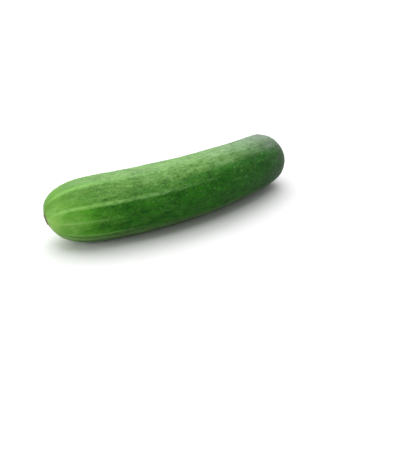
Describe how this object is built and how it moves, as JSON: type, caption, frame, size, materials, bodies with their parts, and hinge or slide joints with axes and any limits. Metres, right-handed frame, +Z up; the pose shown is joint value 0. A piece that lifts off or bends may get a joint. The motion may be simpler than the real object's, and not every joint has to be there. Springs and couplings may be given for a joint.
{
  "type": "cucumber",
  "caption": "Whole ripe slicing cucumber, gently curved and faintly ribbed, with a blossom scar at one end and a cut stalk stub at the other.",
  "frame": {"origin": "on the surface the cucumber lies on, under the middle of its bounding box", "axes": "+X runs along the fruit from the blossom end to the stem end, +Y points to the hollow side of its curve, and +Z is up"},
  "size_m": [0.2132, 0.0598, 0.0486],
  "materials": {
    "skin": "waxy satin green cucumber skin: dark green at the stem end, yellow-green at the blossom end, with pale stripes running from the blossom end along the ribs"
  },
  "bodies": {
    "root": {"cucumber": "skin"}
  },
  "joints": []
}
